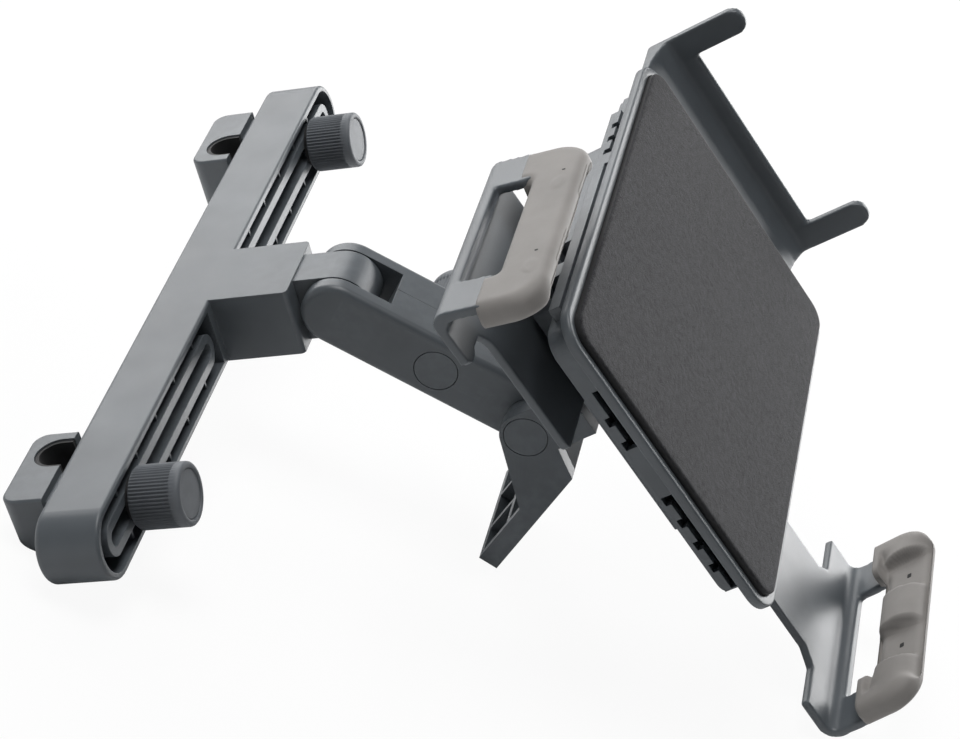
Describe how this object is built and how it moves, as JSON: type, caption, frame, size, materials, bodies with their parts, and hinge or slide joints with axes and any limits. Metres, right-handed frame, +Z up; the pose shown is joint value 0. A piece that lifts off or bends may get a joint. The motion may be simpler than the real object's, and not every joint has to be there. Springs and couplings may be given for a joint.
{
  "type": "headrest tablet mount",
  "caption": "Tablet holder for headrest posts: a crossbar with clamp hooks and thumb knobs, a folding arm, and a swivelling cradle with sliding side arms and a padded plate.",
  "frame": {"origin": "middle of the crossbar, on its centre line", "axes": "+X along the crossbar, -Y towards the passenger, +Z up along the headrest posts"},
  "size_m": [0.24, 0.2113, 0.1833],
  "materials": {
    "body_plastic": "satin charcoal",
    "knob_plastic": "satin charcoal",
    "grip_rubber": "matt dark grey",
    "liner_rubber": "matt black",
    "suede": "fine suede",
    "steel": "plain"
  },
  "bodies": {
    "bar": {"crossbar": "body_plastic"},
    "left_clamp": {"post_hook_left": "body_plastic", "hook_pad_left": "liner_rubber", "clamp_stud_left": "steel", "clamp_washer_left": "liner_rubber"},
    "right_clamp": {"post_hook_right": "body_plastic", "hook_pad_right": "liner_rubber", "clamp_stud_right": "steel", "clamp_washer_right": "liner_rubber"},
    "left_knob": {"knob_left": "knob_plastic", "knob_cap_left": "knob_plastic"},
    "right_knob": {"knob_right": "knob_plastic", "knob_cap_right": "knob_plastic"},
    "arm": {"arm_shell_near": "body_plastic", "arm_shell_far": "body_plastic", "arm_bolt": "steel", "arm_cap": "body_plastic", "hinge_pin_upper": "steel"},
    "arm_clamp_knob": {"arm_knob": "knob_plastic", "arm_knob_cap": "knob_plastic"},
    "bracket": {"tilt_bracket": "body_plastic", "hinge_pin_lower": "steel", "pivot_cap_near": "body_plastic", "pivot_cap_far": "body_plastic", "swivel_post": "body_plastic", "swivel_washer": "steel", "swivel_screw": "steel"},
    "cradle": {"slide_housing": "body_plastic", "back_box": "body_plastic", "front_plate": "body_plastic", "pad": "suede", "housing_screw_1": "steel", "housing_screw_2": "steel", "housing_screw_3": "steel", "housing_screw_4": "steel"},
    "left_side_arm": {"left_arm": "body_plastic", "left_grip": "grip_rubber"},
    "right_side_arm": {"right_arm": "body_plastic", "right_grip": "grip_rubber"},
    "hook": {"hook_arm": "body_plastic"}
  },
  "joints": [
    {"name": "left_clamp_slide", "type": "slide", "parent": "bar", "child": "left_clamp", "axis": [-1, 0, 0], "range_m": [-0.055, 0.01]},
    {"name": "right_clamp_slide", "type": "slide", "parent": "bar", "child": "right_clamp", "axis": [1, 0, 0], "range_m": [-0.055, 0.01]},
    {"name": "left_knob_turn", "type": "hinge", "parent": "left_clamp", "child": "left_knob", "pos_m": [-0.0922, -0.018, 0], "axis": [0, -1, 0], "continuous": true},
    {"name": "right_knob_turn", "type": "hinge", "parent": "right_clamp", "child": "right_knob", "pos_m": [0.0922, -0.018, 0], "axis": [0, -1, 0], "continuous": true},
    {"name": "arm_lift", "type": "hinge", "parent": "bar", "child": "arm", "pos_m": [0, -0.0429, 0], "axis": [1, 0, 0], "range_deg": [-45, 35]},
    {"name": "arm_knob_turn", "type": "hinge", "parent": "arm", "child": "arm_clamp_knob", "pos_m": [0, -0.06767, -0.02057], "axis": [1, 0, 0], "continuous": true},
    {"name": "tilt", "type": "hinge", "parent": "arm", "child": "bracket", "pos_m": [0, -0.09083, -0.03979], "axis": [1, 0, 0], "range_deg": [-30, 30]},
    {"name": "swivel", "type": "hinge", "parent": "bracket", "child": "cradle", "pos_m": [0, -0.09083, -0.03979], "axis": [0, -0.9397, 0.342], "continuous": true},
    {"name": "left_arm_slide", "type": "slide", "parent": "cradle", "child": "left_side_arm", "axis": [0, 0.342, 0.9397], "range_m": [-0.004, 0.02]},
    {"name": "right_arm_slide", "type": "slide", "parent": "cradle", "child": "right_side_arm", "axis": [0, -0.342, -0.9397], "range_m": [-0.038, 0.012]},
    {"name": "hook_arm_slide", "type": "slide", "parent": "cradle", "child": "hook", "axis": [1, 0, 0], "range_m": [-0.004, 0.022]}
  ]
}
